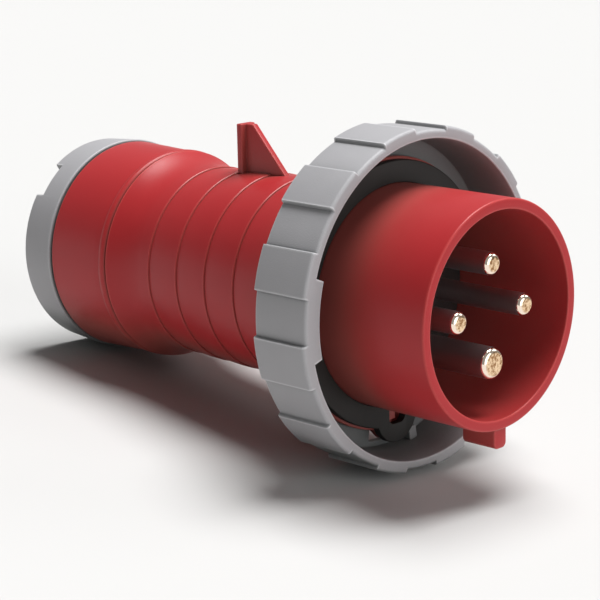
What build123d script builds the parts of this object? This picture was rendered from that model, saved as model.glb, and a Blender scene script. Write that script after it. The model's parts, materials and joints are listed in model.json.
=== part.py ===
from build123d import *
from math import acos, atan2, cos, degrees, radians, sin
import os

# Watertight industrial plug, four pins in a sleeve, lying on its side.
# It is drawn about the X axis: the mouth of the shroud is at X = 0, the cable
# leaves towards -X and the keyway is at the bottom. The whole plug is then laid
# down as it comes to rest, on two pads of its locking ring and on its gland nut.
# Sizes are in millimetres, and the r in a name is a radius.

# Pin shroud, key and flange
shroud_outer_r = 25.0
shroud_wall = 2.35
shroud_length = 30.2
rim_round = 0.45
key_width = 4.0
key_height = 4.3
key_length = 9.4
key_round = 0.8
root_rib_width = 2.2
root_rib_height = 4.6
root_rib_length = 3.0
flange_lip = 5.6
flange_thickness = 2.0
tab_centre = 2.5
tab_r = 6.0
tab_fillet = 2.0

# Journal, barrel and sleeve of the front housing
journal_step = 1.7
barrel_step = 1.8
barrel_length = 6.4
sleeve_step = 4.7
sleeve_wall = 3.0
sleeve_length = 9.0

# Face gasket and housing seal
gasket_inset = 0.6
gasket_thickness = 1.8
gasket_tab_rim = 0.3
gasket_slot_width = 5.2
gasket_slot_reach = 1.9
gasket_slot_round = 1.6
o_ring_r = 0.75

# Contacts and their terminals
floor_setback = 0.8
pin_setback = 2.0
phase_pin_r = 2.5
earth_pin_r = 3.5
tip_round = 1.2
pin_root_step = 0.3
phase_barrel_r = 4.2
earth_barrel_r = 4.8
pin_root_length = 10.5
wire_bore_r = 2.0
wire_bore_depth = 11.0
terminal_screw_r = 1.7
terminal_screw_length = 3.9
terminal_screw_reach = 1.5
terminal_screw_inset = 5.5
screw_slot_width = 0.7
screw_slot_depth = 0.8

# Contact carrier and its back plate
carrier_disc = 6.0
carrier_boss = 25.0
boss_gap = 0.7
boss_wall = 0.85
collar_height = 1.2
collar_wall = 2.4
back_plate = 2.5
wire_hole_r = 3.0
carrier_screw_count = 2
carrier_screw_angle = 45.0
carrier_screw_r = 1.4
carrier_screw_length = 8.0
carrier_head_r = 2.2
carrier_head = 2.0
back_screw_r = 1.5
back_screw_length = 9.0
back_head_r = 2.8
back_head = 1.8

# Locking ring
socket_gap = 10.0
mouth_draft = 0.5
ring_rim = 1.95
pad_step = 0.85
pad_count = 12
ring_width = 15.0
ring_bevel = 0.8
ring_back_bevel = 0.4
ring_web = 1.8
lug_count = 2
lug_height = 2.3
lug_span = 29.0
lug_thin = 2.2
lug_thick = 4.6
stop_width = 2.4
stop_height = 3.3
stop_reach = 2.8
ring_travel = 45.0
window_inset = 0.8
window_width = 3.0
window_span = 14.0
ring_turn = -3.1

# Handle
handle_length = 82.8
collar_step = 3.4
collar_width = 6.0
collar_round = 0.8
flare_length = 6.1
flare_hollow = 0.6
grip_rings = 5
grip_lead = 2.0
grip_wall = 3.2
grip_growth = 0.25
grip_step = 0.36
grip_step_width = 0.5
grip_crown = 0.14
shoulder_length = 9.5
shoulder_height = 2.45
body_length = 20.2
groove_inset = 0.3
groove_depth = 0.5
groove_width = 1.3
bead_width = 1.6
bead_crown = 0.15
tail_rise = 0.5
tail_round = 0.5
sleeve_ledge = 0.8
cavity_end = 6.0
cavity_cone = 2.0

# Fin on top of the grip
fin_place = 9.9
fin_plate = 1.7
fin_plate_width = 4.4
fin_web = 1.6
fin_height = 11.5
fin_top_length = 2.3
fin_length = 14.7

# Cable gland
spigot_step = 5.15
spigot_length = 8.3
spigot_chamfer = 0.6
spigot_wall = 3.9
gland_seat = 9.2
gland_ledge = 4.0
nut_rise = 0.45
nut_taper = 0.75
nut_bevel = 0.5
nut_wall = 2.4
nut_gap = 0.6
nut_end_gap = 0.4
collet_gap = 1.1
cable_hole_r = 9.5
cone_rim = 1.9
cone_length = 5.4
notch_count = 2
notch_depth = 3.0
notch_width = 3.65
notch_span = 20.8
notch_angle = 135.0
nut_seal_width = 2.8
seal_length = 6.8
seal_outer_wall = 4.4
core_bore_r = 6.5
washer_thickness = 1.0
washer_hole_r = 9.6
collet_base = 2.4
collet_hole_r = 8.9
finger_count = 10
finger_slot = 1.1
finger_length = 4.8

# Clearances
ring_play = 0.3
slip = 0.1
seat_gap = 0.3
screw_fit = 0.05

# Radii of the front housing, and of what sits on it and in it
shroud_bore_r = shroud_outer_r - shroud_wall
flange_r = shroud_outer_r + flange_lip
tab_circle_r = shroud_outer_r + tab_centre
journal_r = shroud_outer_r + journal_step
barrel_r = journal_r - barrel_step
sleeve_r = barrel_r - sleeve_step
sleeve_bore_r = sleeve_r - sleeve_wall
gasket_r = flange_r - gasket_inset
gasket_tab_r = tab_r + gasket_tab_rim
gasket_slot_r = tab_circle_r + gasket_slot_reach
carrier_boss_r = sleeve_bore_r - boss_gap
carrier_screw_circle_r = (shroud_bore_r + sleeve_bore_r) / 2
pin_circle_r = carrier_boss_r - boss_wall - earth_barrel_r

# Radii of the locking ring
ring_bore_r = shroud_outer_r + socket_gap
ring_mouth_r = ring_bore_r + mouth_draft
pad_r = ring_mouth_r + ring_rim + pad_step
lug_inner_r = ring_mouth_r - lug_height
stop_inner_r = ring_bore_r - stop_reach
window_outer_r = ring_bore_r - window_inset
window_inner_r = window_outer_r - window_width

# Radii of the handle and the gland
handle_bore_r = barrel_r + slip
collar_r = handle_bore_r + collar_step
cavity_r = sleeve_r - sleeve_ledge
grip_r = cavity_r + grip_wall
body_r = grip_r + shoulder_height
tail_r = body_r + tail_rise
fin_top_r = grip_r + fin_height
spigot_r = tail_r - spigot_step
gland_bore_r = spigot_r - spigot_wall
throat_r = gland_bore_r - gland_ledge
nut_front_r = tail_r + nut_rise
nut_back_r = nut_front_r - nut_taper
nut_seal_r = spigot_r + nut_seal_width
notch_floor_r = nut_back_r - notch_width
cone_mouth_r = gland_bore_r - cone_rim
seal_split_r = gland_bore_r - slip - seal_outer_wall

# Places along the axis
flange_x = -shroud_length - gasket_thickness
flange_back_x = flange_x - flange_thickness
web_x = flange_back_x - ring_play
ring_back_x = web_x - ring_web
ring_front_x = ring_back_x + ring_width
handle_x = ring_back_x - ring_play
barrel_back_x = handle_x - barrel_length
sleeve_back_x = barrel_back_x - sleeve_length
floor_x = -shroud_length - floor_setback
pin_shoulder_x = floor_x - pin_root_length
ledge_x = floor_x - carrier_disc
boss_back_x = ledge_x - carrier_boss
plate_back_x = boss_back_x - back_plate
terminal_x = boss_back_x + terminal_screw_inset
handle_back_x = handle_x - handle_length
spigot_back_x = handle_back_x - spigot_length
nut_x = handle_back_x - nut_gap
nut_wall_x = spigot_back_x - nut_end_gap
nut_back_x = nut_wall_x - nut_wall
gland_seat_x = handle_back_x + gland_seat
cavity_end_x = gland_seat_x + cavity_end
washer_x = gland_seat_x - seal_length
collet_x = washer_x - washer_thickness
finger_x = collet_x - collet_base
finger_back_x = finger_x - finger_length
nut_boss_x = finger_x - collet_gap
shoulder_x = handle_back_x + body_length
shoulder_foot_x = shoulder_x + shoulder_length
grip_back_x = shoulder_foot_x + grip_lead
grip_front_x = handle_x - collar_width - flare_length
grip_pitch = (grip_front_x - grip_back_x) / (grip_rings - 1)
fin_back_x = grip_back_x + fin_place
fin_foot_x = fin_back_x + fin_length

# Fits and angles that more than one piece shares
o_ring_circle_r = handle_bore_r - slip - o_ring_r
o_ring_x = (handle_x + barrel_back_x) / 2
collar_x = floor_x + collar_height
terminal_screw_inner_r = pin_circle_r + terminal_screw_reach
bottom = 270.0
pad_span = 180.0 / pad_count
tab_edge = (stop_inner_r**2 + tab_circle_r**2 - gasket_tab_r**2) / (2 * stop_inner_r * tab_circle_r)
stop_angle = degrees(acos(tab_edge) + (stop_width / 2 + slip) / stop_inner_r)
phase_angles = (180.0, 90.0, 0.0)
pin_angles = (*phase_angles, bottom)


def station(x):
    """The plane across the plug at x, facing the mouth."""
    return Plane.YZ.offset(x)


def radial_plane(x, angle):
    """A plane through the axis at x, facing outwards at an angle."""
    outwards = (0, cos(radians(angle)), sin(radians(angle)))
    return Plane(origin=(x, 0, 0), x_dir=(1, 0, 0), z_dir=outwards)


def carrier_screw_places():
    """Where the carrier's fixing screws stand."""
    return PolarLocations(carrier_screw_circle_r, carrier_screw_count, carrier_screw_angle)


def phase_pin_places():
    """Where the phase pins stand: right, top and left."""
    return PolarLocations(pin_circle_r, len(phase_angles), phase_angles[-1], bottom)


def earth_pin_place():
    """Where the earth pin stands, at the bottom by the key."""
    return Locations((0, -pin_circle_r))


def sector(inner_r, outer_r, middle, span):
    """A piece of a flat ring, its middle and span in degrees."""
    with BuildSketch() as face:
        with BuildLine():
            outer = CenterArc((0, 0), outer_r, middle - span / 2, span)
            inner = CenterArc((0, 0), inner_r, middle - span / 2, span)
            Line(outer @ 0, inner @ 0)
            Line(outer @ 1, inner @ 1)
        make_face()
    return face.sketch


def keyhole(disc_r, circle_r):
    """A disc with a rounded tab at the bottom, drawn as one half and mirrored."""
    with BuildSketch() as face:
        Circle(disc_r)
        with Locations((0, -tab_circle_r)):
            Circle(circle_r)
        Rectangle(disc_r, 3 * disc_r, align=(Align.MAX, Align.CENTER), mode=Mode.SUBTRACT)
        fillet(face.vertices().sort_by(Axis.X)[-1], tab_fillet)
        mirror(about=Plane.YZ)
    return face.sketch


def tab_slot(left):
    """The round-cornered slot in the tab, from its left edge to the gasket's right one."""
    right = gasket_slot_width / 2
    with BuildSketch() as face:
        with Locations((right, 0)):
            Rectangle(right - left, gasket_slot_r, align=(Align.MAX, Align.MAX))
        fillet(face.vertices().group_by(Axis.Y)[0], gasket_slot_round * (right - left) / (2 * right))
    return face.sketch


# Front housing: shroud, flange, journal, barrel and sleeve in one moulding
with BuildPart() as front_housing:
    with BuildSketch(Plane.XZ):
        with BuildLine():
            rim_end = (-rim_round, shroud_outer_r)
            rim = RadiusArc((0, shroud_outer_r - rim_round), rim_end, -rim_round)
            Polyline(
                rim_end,
                (flange_back_x, shroud_outer_r),
                (flange_back_x, journal_r),
                (handle_x, journal_r),
                (handle_x, barrel_r),
                (barrel_back_x, barrel_r),
                (barrel_back_x, sleeve_r),
                (sleeve_back_x, sleeve_r),
                (sleeve_back_x, sleeve_bore_r),
                (ledge_x, sleeve_bore_r),
                (ledge_x, shroud_bore_r),
                (0, shroud_bore_r),
                rim @ 0,
            )
        make_face()
    revolve(axis=Axis.X)
    with BuildSketch(station(flange_back_x)):
        add(keyhole(flange_r, tab_r))
        add(tab_slot(0), mode=Mode.SUBTRACT)
        Circle(shroud_outer_r - shroud_wall / 2, mode=Mode.SUBTRACT)
    extrude(amount=flange_thickness)
    with BuildSketch(station(-key_length)) as key:
        with Locations((0, shroud_wall / 2 - shroud_outer_r)):
            Rectangle(key_width, key_height + shroud_wall / 2, align=(Align.CENTER, Align.MAX))
        fillet(key.vertices().group_by(Axis.Y)[0], key_round)
    extrude(amount=key_length - rim_round)
    with BuildSketch(station(flange_x)):
        with Locations((-root_rib_width / 2, shroud_wall / 2 - shroud_outer_r)):
            Rectangle(root_rib_width, root_rib_height, align=(Align.CENTER, Align.MAX))
    extrude(amount=root_rib_length)
    with BuildSketch(station(ledge_x)):
        with carrier_screw_places():
            Circle(carrier_screw_r + screw_fit)
    extrude(amount=carrier_disc - carrier_head - carrier_screw_length - seat_gap, mode=Mode.SUBTRACT)
    with BuildSketch(Plane.XZ):
        with Locations((o_ring_x, o_ring_circle_r - o_ring_r - slip)):
            Rectangle(2 * (o_ring_r + slip), 2 * barrel_r, align=(Align.CENTER, Align.MIN))
    revolve(axis=Axis.X, mode=Mode.SUBTRACT)

# Face gasket: flat rubber with the same tab, and a slot round the root rib
with BuildPart() as face_gasket:
    with BuildSketch(station(flange_x)):
        add(keyhole(gasket_r, gasket_tab_r))
        Circle(shroud_outer_r + slip, mode=Mode.SUBTRACT)
        add(tab_slot(-gasket_slot_width / 2), mode=Mode.SUBTRACT)
    extrude(amount=gasket_thickness)

# Seal between the front housing and the handle
with BuildPart() as housing_seal:
    with BuildSketch(Plane.XZ):
        with Locations((o_ring_x, o_ring_circle_r)):
            Circle(o_ring_r)
    revolve(axis=Axis.X)

# Contact carrier: the floor of the shroud, with a boss that holds the terminals
with BuildPart() as contact_carrier:
    with BuildSketch(station(ledge_x)):
        Circle(shroud_bore_r - slip)
    extrude(amount=carrier_disc)
    with BuildSketch(station(ledge_x)):
        Circle(carrier_boss_r)
    extrude(amount=-carrier_boss)
    with BuildSketch(station(floor_x)):
        with phase_pin_places():
            Circle(phase_pin_r + collar_wall)
        with earth_pin_place():
            Circle(earth_pin_r + collar_wall)
    extrude(amount=collar_height)
    with BuildSketch(station(collar_x)):
        with phase_pin_places():
            Circle(phase_pin_r + pin_root_step + screw_fit)
        with earth_pin_place():
            Circle(earth_pin_r + pin_root_step + screw_fit)
    extrude(amount=-collar_height - carrier_disc - carrier_boss, mode=Mode.SUBTRACT)
    with BuildSketch(station(boss_back_x)):
        with phase_pin_places():
            Circle(phase_barrel_r + screw_fit)
        with earth_pin_place():
            Circle(earth_barrel_r + screw_fit)
    extrude(amount=pin_shoulder_x - boss_back_x, mode=Mode.SUBTRACT)
    for angle in pin_angles:
        with BuildSketch(radial_plane(terminal_x, angle).offset(pin_circle_r)):
            Circle(terminal_screw_r + slip)
        extrude(amount=carrier_boss_r, mode=Mode.SUBTRACT)
    with BuildSketch(station(floor_x)):
        with carrier_screw_places():
            Circle(carrier_head_r + screw_fit)
    extrude(amount=-carrier_head, mode=Mode.SUBTRACT)
    with BuildSketch(station(floor_x)):
        with carrier_screw_places():
            Circle(carrier_screw_r + screw_fit)
    extrude(amount=-carrier_disc, mode=Mode.SUBTRACT)
    with BuildSketch(station(boss_back_x)):
        Circle(back_screw_r + screw_fit)
    extrude(amount=back_screw_length, mode=Mode.SUBTRACT)

# Back plate that keeps the contacts in the carrier
with BuildPart() as carrier_back:
    with BuildSketch(station(plate_back_x)):
        Circle(carrier_boss_r)
        Circle(back_screw_r + screw_fit, mode=Mode.SUBTRACT)
        with PolarLocations(pin_circle_r, len(pin_angles)):
            Circle(wire_hole_r, mode=Mode.SUBTRACT)
    extrude(amount=back_plate)

# Screw that holds the back plate
with BuildPart() as back_screw:
    with BuildSketch(station(plate_back_x)):
        Circle(back_head_r)
    extrude(amount=-back_head)
    with BuildSketch(station(plate_back_x)):
        Circle(back_screw_r)
    extrude(amount=back_screw_length)
    with BuildSketch(station(plate_back_x - back_head)):
        Rectangle(screw_slot_width, 2 * back_head_r)
    extrude(amount=screw_slot_depth, mode=Mode.SUBTRACT)

# Two screws that hold the carrier in the housing
with BuildPart() as carrier_screws:
    with BuildSketch(station(floor_x - carrier_head)):
        with carrier_screw_places():
            Circle(carrier_head_r)
    extrude(amount=carrier_head)
    with BuildSketch(station(floor_x - carrier_head)):
        with carrier_screw_places():
            Circle(carrier_screw_r)
    extrude(amount=-carrier_screw_length)
    with BuildSketch(station(floor_x)):
        with carrier_screw_places():
            Rectangle(screw_slot_width, 2 * carrier_head_r)
    extrude(amount=-screw_slot_depth, mode=Mode.SUBTRACT)

# One short screw in each terminal
with BuildPart() as terminal_screws:
    for angle in pin_angles:
        with BuildSketch(radial_plane(terminal_x, angle).offset(terminal_screw_inner_r)):
            Circle(terminal_screw_r)
        extrude(amount=terminal_screw_length)
        slot_r = terminal_screw_inner_r + terminal_screw_length
        with BuildSketch(radial_plane(terminal_x, angle).offset(slot_r)):
            Rectangle(screw_slot_width, 2 * terminal_screw_r)
        extrude(amount=-screw_slot_depth, mode=Mode.SUBTRACT)


def contact_pin(angle, pin_r, barrel_r):
    """A turned contact: round-nosed pin, thicker root and bored terminal barrel."""
    centre_y = pin_circle_r * cos(radians(angle))
    centre_z = pin_circle_r * sin(radians(angle))
    along = Plane(origin=(0, centre_y, centre_z), x_dir=(1, 0, 0), z_dir=(0, -1, 0))
    across = Plane(origin=(boss_back_x, centre_y, centre_z), z_dir=(1, 0, 0))
    with BuildPart() as pin:
        with BuildSketch(along):
            with BuildLine():
                nose_start = (-pin_setback, pin_r - tip_round)
                nose_end = (-pin_setback - tip_round, pin_r)
                RadiusArc(nose_start, nose_end, -tip_round)
                Polyline(
                    nose_end,
                    (collar_x, pin_r),
                    (collar_x, pin_r + pin_root_step),
                    (pin_shoulder_x, pin_r + pin_root_step),
                    (pin_shoulder_x, barrel_r),
                    (boss_back_x, barrel_r),
                    (boss_back_x, 0),
                    (-pin_setback, 0),
                    nose_start,
                )
            make_face()
        revolve(axis=Axis((0, centre_y, centre_z), (1, 0, 0)))
        with BuildSketch(across):
            Circle(wire_bore_r)
        extrude(amount=wire_bore_depth, mode=Mode.SUBTRACT)
        with BuildSketch(radial_plane(terminal_x, angle).offset(pin_circle_r)):
            Circle(terminal_screw_r + screw_fit)
        extrude(amount=barrel_r + slip, mode=Mode.SUBTRACT)
    return pin


phase_pins = [contact_pin(angle, phase_pin_r, phase_barrel_r) for angle in phase_angles]
earth_pin = contact_pin(bottom, earth_pin_r, earth_barrel_r)


def ring_section(inner_r, outer_r):
    """The outside of the ring at one radius, with its bevelled edges."""
    return (
        (ring_back_x, inner_r),
        (ring_back_x, outer_r - ring_back_bevel),
        (ring_back_x + ring_back_bevel, outer_r),
        (ring_front_x - ring_bevel, outer_r),
        (ring_front_x, outer_r - ring_bevel),
        (ring_front_x, ring_mouth_r),
    )


# Raised grip pads of the locking ring, cut from one bevelled band
with BuildPart() as ring_pads:
    with BuildSketch(Plane.XZ):
        with BuildLine():
            Polyline(*ring_section(ring_mouth_r, pad_r), close=True)
        make_face()
    revolve(axis=Axis.X)
    with BuildSketch(station(ring_back_x)):
        for pad in range(pad_count):
            add(sector(ring_bore_r, pad_r + ring_bevel, (2 * pad + 1) * pad_span, pad_span))
    extrude(amount=ring_width, mode=Mode.INTERSECT)

# Bayonet ramp: a lug inside the mouth whose back slopes round the ring
with BuildPart() as ramp:
    with BuildSketch(Plane.XZ):
        with BuildLine():
            reach = ring_mouth_r * sin(radians(lug_span / 2))
            Polyline(
                (ring_front_x, -reach),
                (ring_front_x, reach),
                (ring_front_x - lug_thick, reach),
                (ring_front_x - lug_thin, -reach),
                close=True,
            )
        make_face()
    extrude(amount=ring_mouth_r + pad_step)
    with BuildSketch(station(ring_front_x)):
        add(sector(lug_inner_r, ring_mouth_r + pad_step, 180, lug_span))
    extrude(amount=-ring_width, mode=Mode.INTERSECT)

# Locking ring: castellated outside, two bayonet ramps, a web with a window and two stops
with BuildPart() as locking_ring:
    with BuildSketch(Plane.XZ):
        with BuildLine():
            Polyline(
                *ring_section(journal_r + ring_play, pad_r - pad_step),
                (web_x, ring_bore_r),
                (web_x, journal_r + ring_play),
                close=True,
            )
        make_face()
    revolve(axis=Axis.X)
    add(ring_pads.part)
    for lug in range(lug_count):
        add(ramp.part.rotate(Axis.X, lug * 360 / lug_count))
    with BuildSketch(station(ring_back_x)):
        add(sector(window_inner_r, window_outer_r, bottom, window_span))
    extrude(amount=ring_web, mode=Mode.SUBTRACT)
    stops = (bottom + stop_angle - ring_turn, bottom - stop_angle - ring_travel - ring_turn)
    with BuildSketch(station(web_x)):
        for stop in stops:
            with PolarLocations(stop_inner_r, 1, start_angle=stop):
                Rectangle(
                    ring_bore_r + pad_step - stop_inner_r,
                    stop_width,
                    align=(Align.MIN, Align.CENTER),
                )
    extrude(amount=stop_height)


def grip_crest(ring):
    """Where one grip ring ends, counted from the back, and its radius there."""
    return grip_back_x + ring * grip_pitch, grip_r + ring * grip_growth


def grip_step_foot(ring):
    """The foot of the small step in front of a grip ring's crest."""
    crest_x, crest_r = grip_crest(ring)
    return crest_x + grip_step_width, crest_r - grip_step


# Handle: one moulding from the collar behind the ring to the gland spigot
with BuildPart() as handle:
    with BuildSketch(Plane.XZ):
        with BuildLine():
            Polyline(
                (handle_x, handle_bore_r),
                (handle_x, collar_r - collar_round),
                (handle_x - collar_round, collar_r),
                (handle_x - collar_width, collar_r),
            )
            SagittaArc(
                (handle_x - collar_width, collar_r),
                grip_step_foot(grip_rings - 1),
                flare_hollow,
            )
            for ring in range(grip_rings):
                Line(grip_step_foot(ring), grip_crest(ring))
            for ring in range(1, grip_rings):
                SagittaArc(grip_crest(ring), grip_step_foot(ring - 1), -grip_crown)
            foot = (shoulder_foot_x, grip_r)
            Line(grip_crest(0), foot)
            shoulder = TangentArc((shoulder_x, body_r), foot, tangent=(1, 0))
            groove_x = shoulder_x - groove_inset
            Polyline(
                shoulder @ 0,
                (groove_x, body_r),
                (groove_x - groove_width / 2, body_r - groove_depth),
                (groove_x - groove_width, body_r),
            )
            bead = SagittaArc(
                (groove_x - groove_width, body_r),
                (groove_x - groove_width - bead_width, body_r),
                -bead_crown,
            )
            tail = (handle_back_x + tail_round, tail_r)
            Line(bead @ 1, tail)
            RadiusArc(tail, (handle_back_x, tail_r - tail_round), -tail_round)
            Polyline(
                (handle_back_x, tail_r - tail_round),
                (handle_back_x, spigot_r),
                (spigot_back_x + spigot_chamfer, spigot_r),
                (spigot_back_x, spigot_r - spigot_chamfer),
                (spigot_back_x, gland_bore_r),
                (gland_seat_x, gland_bore_r),
                (gland_seat_x, throat_r),
                (cavity_end_x - cavity_cone, throat_r),
                (cavity_end_x, cavity_r),
                (sleeve_back_x - seat_gap, cavity_r),
                (sleeve_back_x - seat_gap, sleeve_r + slip),
                (barrel_back_x - slip, sleeve_r + slip),
                (barrel_back_x - slip, handle_bore_r),
                (handle_x, handle_bore_r),
            )
        make_face()
    revolve(axis=Axis.X)
    fin_root_r = (cavity_r + grip_r) / 2
    with BuildSketch(station(fin_back_x)):
        with Locations((0, fin_root_r)):
            Rectangle(fin_plate_width, fin_top_r - fin_root_r, align=(Align.CENTER, Align.MIN))
    extrude(amount=fin_plate)
    with BuildSketch(Plane.XZ):
        with BuildLine():
            Polyline(
                (fin_back_x, fin_root_r),
                (fin_back_x, fin_top_r),
                (fin_back_x + fin_plate + fin_top_length, fin_top_r),
                (fin_foot_x, grip_r),
                (fin_foot_x, fin_root_r),
                close=True,
            )
        make_face()
    extrude(amount=fin_web / 2, both=True)

# Seal ring between the handle and the gland nut
with BuildPart() as nut_seal:
    with BuildSketch(station(handle_back_x)):
        Circle(nut_seal_r)
        Circle(spigot_r + slip, mode=Mode.SUBTRACT)
    extrude(amount=-nut_gap + slip)

# Cable seal in two nested rings, the inner one left out for a thick cable
with BuildPart() as cable_seal_outer:
    with BuildSketch(station(washer_x)):
        Circle(gland_bore_r - slip)
        Circle(seal_split_r, mode=Mode.SUBTRACT)
    extrude(amount=seal_length)

with BuildPart() as cable_seal_core:
    with BuildSketch(station(washer_x)):
        Circle(seal_split_r - slip)
        Circle(core_bore_r, mode=Mode.SUBTRACT)
    extrude(amount=seal_length)

# Washer that presses on the seals
with BuildPart() as thrust_washer:
    with BuildSketch(station(collet_x)):
        Circle(gland_bore_r - slip)
        Circle(washer_hole_r, mode=Mode.SUBTRACT)
    extrude(amount=washer_thickness)


def cone_r(x):
    """Radius of the nut's clamping cone at x."""
    slope = (cone_mouth_r - cable_hole_r) / cone_length
    return cone_mouth_r - slope * (nut_boss_x - x)


# Collet: a base ring with fingers that the nut's cone closes on the cable
with BuildPart() as clamp_collet:
    with BuildSketch(Plane.XZ):
        with BuildLine():
            Polyline(
                (collet_x, collet_hole_r),
                (collet_x, gland_bore_r - seat_gap),
                (finger_x, gland_bore_r - seat_gap),
                (finger_x, cone_r(finger_x) - seat_gap),
                (finger_back_x, cone_r(finger_back_x) - seat_gap),
                (finger_back_x, collet_hole_r),
                close=True,
            )
        make_face()
    revolve(axis=Axis.X)
    with BuildSketch(station(finger_back_x)):
        with PolarLocations(collet_hole_r, finger_count):
            Rectangle(2 * (cone_mouth_r - collet_hole_r), finger_slot)
    extrude(amount=finger_length, mode=Mode.SUBTRACT)

# Gland nut: a cap with a clamping cone inside and two spanner notches
with BuildPart() as gland_nut:
    with BuildSketch(Plane.XZ):
        with BuildLine():
            Polyline(
                (nut_x, spigot_r + seat_gap),
                (nut_x, nut_front_r - nut_bevel),
                (nut_x - nut_bevel, nut_front_r),
                (nut_back_x + nut_bevel, nut_back_r),
                (nut_back_x, nut_back_r - nut_bevel),
                (nut_back_x, cable_hole_r),
                (nut_boss_x - cone_length, cable_hole_r),
                (nut_boss_x, cone_mouth_r),
                (nut_boss_x, gland_bore_r - seat_gap),
                (nut_wall_x, gland_bore_r - seat_gap),
                (nut_wall_x, spigot_r + seat_gap),
                close=True,
            )
        make_face()
    revolve(axis=Axis.X)
    with BuildSketch(station(nut_back_x)):
        for notch in range(notch_count):
            middle = notch_angle + notch * 360 / notch_count
            add(sector(notch_floor_r, nut_front_r, middle, notch_span))
    extrude(amount=notch_depth, mode=Mode.SUBTRACT)

# The ring stands a little turned, so that two of its pads can meet the ground
turned_ring = locking_ring.part.rotate(Axis.X, ring_turn)

pieces = {
    "front_housing": front_housing.part,
    "face_gasket": face_gasket.part,
    "housing_seal": housing_seal.part,
    "contact_carrier": contact_carrier.part,
    "carrier_back": carrier_back.part,
    "back_screw": back_screw.part,
    "carrier_screws": carrier_screws.part,
    "terminal_screws": terminal_screws.part,
    "phase_pin_1": phase_pins[0].part,
    "phase_pin_2": phase_pins[1].part,
    "phase_pin_3": phase_pins[2].part,
    "earth_pin": earth_pin.part,
    "locking_ring": turned_ring,
    "handle": handle.part,
    "nut_seal": nut_seal.part,
    "cable_seal_outer": cable_seal_outer.part,
    "cable_seal_core": cable_seal_core.part,
    "thrust_washer": thrust_washer.part,
    "clamp_collet": clamp_collet.part,
    "gland_nut": gland_nut.part,
}

# Resting pose: the back corners of two pads and the back corner of the nut on the ground
ring_rest_r = pad_r * cos(radians(pad_span / 2))
rest_length = (ring_back_x + ring_back_bevel) - (nut_back_x + nut_bevel)
rest_tilt = degrees(atan2(ring_rest_r - nut_back_r, rest_length))
leaning = Location((0, 0, 0), (0, -rest_tilt, 0)) * Location((0, 0, 0), (-ring_turn, 0, 0))
box = Compound([piece.moved(leaning) for piece in pieces.values()]).bounding_box()
middle = box.center()
resting = Location((-middle.X, -middle.Y, -box.min.Z)) * leaning

os.makedirs("parts", exist_ok=True)
for name, piece in pieces.items():
    laid = piece.moved(resting)
    laid.label = name
    export_step(laid, f"parts/{name}.step")
print("tilt", round(rest_tilt, 4), "roll", -ring_turn)
print("mouth at", [round(value, 4) for value in resting.position])
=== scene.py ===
import json
import math

import bmesh
import bpy
from mathutils import Matrix, Vector


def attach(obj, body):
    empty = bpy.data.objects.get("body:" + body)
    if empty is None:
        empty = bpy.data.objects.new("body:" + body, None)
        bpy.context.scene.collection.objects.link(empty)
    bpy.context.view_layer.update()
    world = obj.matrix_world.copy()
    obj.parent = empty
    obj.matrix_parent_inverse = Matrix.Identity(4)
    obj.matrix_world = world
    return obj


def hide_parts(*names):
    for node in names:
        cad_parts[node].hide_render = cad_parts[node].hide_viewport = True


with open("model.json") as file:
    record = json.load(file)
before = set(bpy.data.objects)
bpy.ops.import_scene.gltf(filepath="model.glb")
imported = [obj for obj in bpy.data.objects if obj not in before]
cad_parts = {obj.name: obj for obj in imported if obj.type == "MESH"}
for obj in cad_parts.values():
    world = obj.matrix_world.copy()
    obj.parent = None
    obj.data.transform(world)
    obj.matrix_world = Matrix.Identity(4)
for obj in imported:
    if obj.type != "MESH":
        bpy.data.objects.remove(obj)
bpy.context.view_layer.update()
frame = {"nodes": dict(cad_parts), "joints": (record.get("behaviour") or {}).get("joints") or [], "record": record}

record = frame["record"]
joints = {joint["name"]: joint for joint in frame["joints"]}
mounts = {mount["name"]: mount for mount in record["mounts"]}
mm = 0.001


# The plug lies nose up, so every piece is drawn about the plug's own axis, in millimetres:
# x = 0 at the mouth of the shroud, the cable end towards -x, the key at the bottom.
forwardAxis = Vector(joints["ring_turn"]["axis"]).normalized()


def plugMatrix():
    mouth = Vector(mounts["keyed_shroud"]["pos_m"])
    earth = Vector(mounts["earth_pin_end"]["pos_m"]) - mouth
    up = -(earth - earth.dot(forwardAxis) * forwardAxis).normalized()
    side = up.cross(forwardAxis)
    turned = Matrix((forwardAxis, side, up)).transposed().to_4x4()
    return Matrix.Translation(mouth) @ turned @ Matrix.Scale(mm, 4)


toFrame = plugMatrix()


# Mesh helpers
meshing = {
    "sweepStep": 1.5,  # degrees from one section of a swept ring to the next
    "edgeReach": 1.3,  # the close sections reach this much further than the eased edge they follow
    "arcShare": 0.45,  # an arc takes at most this share of a side of its corner
    "nearlyStraight": 0.02,  # radians, half of the bend below which a corner gets no arc
    "mergeGap": 0.0001,  # points closer than this become one
    "prismBend": 0.7,  # radians, the edges of a prism that bend more than this are rounded
}


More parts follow.
